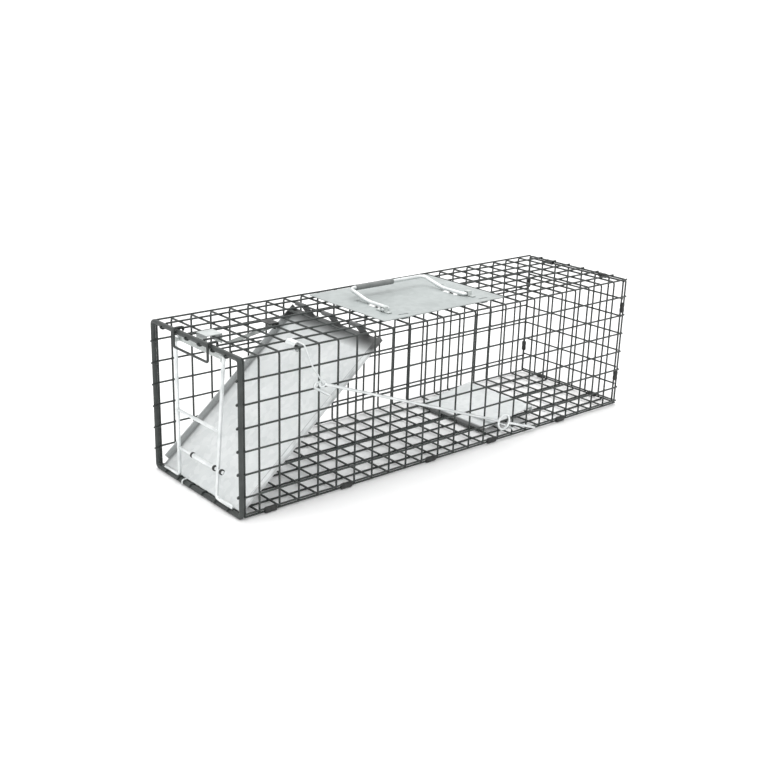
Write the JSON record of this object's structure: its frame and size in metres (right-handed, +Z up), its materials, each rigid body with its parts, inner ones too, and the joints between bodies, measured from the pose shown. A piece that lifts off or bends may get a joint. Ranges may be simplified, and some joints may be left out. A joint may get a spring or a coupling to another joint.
{
  "type": "live catch trap",
  "caption": "Long welded-wire cage trap with a slanted sheet door that swings up, a hanging lock bar, a floor trip pan, an outside trigger rod and a folding carry handle.",
  "frame": {"origin": "middle of the cage's floor, on the surface the trap stands on", "axes": "+X towards the closed back end, -Y towards the side with the trigger rod, +Z up"},
  "size_m": [0.6137, 0.1836, 0.1935],
  "materials": {
    "coated_mesh": "dark grey-green coating, semi-matt",
    "clip_steel": "dark oxidised steel clips",
    "zinc_sheet": "galvanised sheet, fine spangle",
    "grey_sheet": "galvanised sheet, matt grey",
    "bright_wire": "bright zinc-plated wire",
    "grip_sleeve": "matt vinyl sleeve"
  },
  "bodies": {
    "cage": {"roof_mesh": "coated_mesh", "floor_mesh": "coated_mesh", "far_side_mesh": "coated_mesh", "near_side_mesh": "coated_mesh", "back_mesh": "coated_mesh", "front_frame": "coated_mesh", "keeper_loop": "coated_mesh", "lock_bar_hanger": "zinc_sheet", "leaf_clip": "clip_steel", "leaf_spring": "clip_steel", "rod_spring": "bright_wire", "handle_plate": "grey_sheet", "bail_strap_front": "zinc_sheet", "bail_strap_back": "zinc_sheet", "hog_ring": "bright_wire", "back_clip_far_1": "clip_steel", "back_clip_far_2": "clip_steel", "back_clip_top_1": "clip_steel", "back_clip_top_2": "clip_steel", "back_clip_near_1": "clip_steel", "back_clip_near_2": "clip_steel", "back_clip_bottom_1": "clip_steel", "back_clip_bottom_2": "clip_steel", "seam_clip_1": "clip_steel", "seam_clip_2": "clip_steel", "seam_clip_3": "clip_steel", "seam_clip_4": "clip_steel", "seam_clip_5": "clip_steel"},
    "door": {"door": "zinc_sheet"},
    "lock_bar": {"lock_bar": "bright_wire", "lock_sleeve": "bright_wire", "lock_collar_1": "clip_steel", "lock_collar_2": "clip_steel", "lock_collar_3": "clip_steel"},
    "trigger_rod": {"trigger_rod": "bright_wire"},
    "trip_pan": {"trip_pan": "grey_sheet", "trip_arm": "bright_wire"},
    "handle": {"handle_bail": "bright_wire", "handle_grip": "grip_sleeve"}
  },
  "joints": [
    {"name": "door_hinge", "type": "hinge", "parent": "cage", "child": "door", "pos_m": [-0.127, 0, 0.17453], "axis": [0, 1, 0], "range_deg": [0, 38]},
    {"name": "lock_bar_hinge", "type": "hinge", "parent": "cage", "child": "lock_bar", "pos_m": [-0.2964, 0, 0.1673], "axis": [0, 1, 0], "range_deg": [0, 76]},
    {"name": "trigger_rod_hinge", "type": "hinge", "parent": "cage", "child": "trigger_rod", "pos_m": [-0.20295, -0.0908, 0.13183], "axis": [0, -1, 0], "range_deg": [0, 10]},
    {"name": "trip_pan_hinge", "type": "hinge", "parent": "cage", "child": "trip_pan", "pos_m": [0.0762, 0, 0.00327], "axis": [0, -1, 0], "range_deg": [0, 8]},
    {"name": "handle_hinge", "type": "hinge", "parent": "cage", "child": "handle", "pos_m": [0, -0.04, 0.1817], "axis": [1, 0, 0], "range_deg": [0, 110]}
  ],
  "couplings": [
    {"joint": "lock_bar_hinge", "follows": "door_hinge", "ratio": 2}
  ]
}
